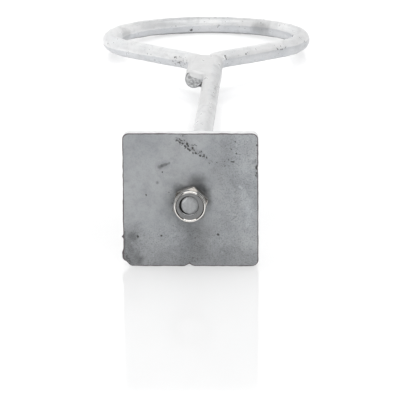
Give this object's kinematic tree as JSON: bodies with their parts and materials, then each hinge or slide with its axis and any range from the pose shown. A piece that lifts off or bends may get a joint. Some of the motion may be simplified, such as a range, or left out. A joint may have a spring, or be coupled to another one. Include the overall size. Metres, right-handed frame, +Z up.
{
  "type": "ring anchor bolt",
  "caption": "Long galvanised round bar bent into a closed ring with a welded folded-back tail, its threaded end carrying a square anchor plate held by a nylon lock nut.",
  "frame": {"origin": "on the bolt's axis, in the plate's bearing face on the ring's side", "axes": "+Y along the shaft from the plate to the ring, the ring lies in the XY plane, +Z up across the plate"},
  "size_m": [0.1498, 0.6499, 0.075],
  "materials": {
    "galvanised_bar": "bright hot-dip galvanised, pale and slightly rough, with small pits",
    "galvanised_plate": "dull grey galvanised face, clouded and stained, with paler edges",
    "bright_steel": "bright turned steel",
    "nylon": "satin grey nylon"
  },
  "bodies": {
    "root": {"ring_bar": "galvanised_bar", "neck_weld": "galvanised_bar", "anchor_plate": "galvanised_plate", "lock_nut": "bright_steel", "nut_insert": "nylon"}
  },
  "joints": []
}
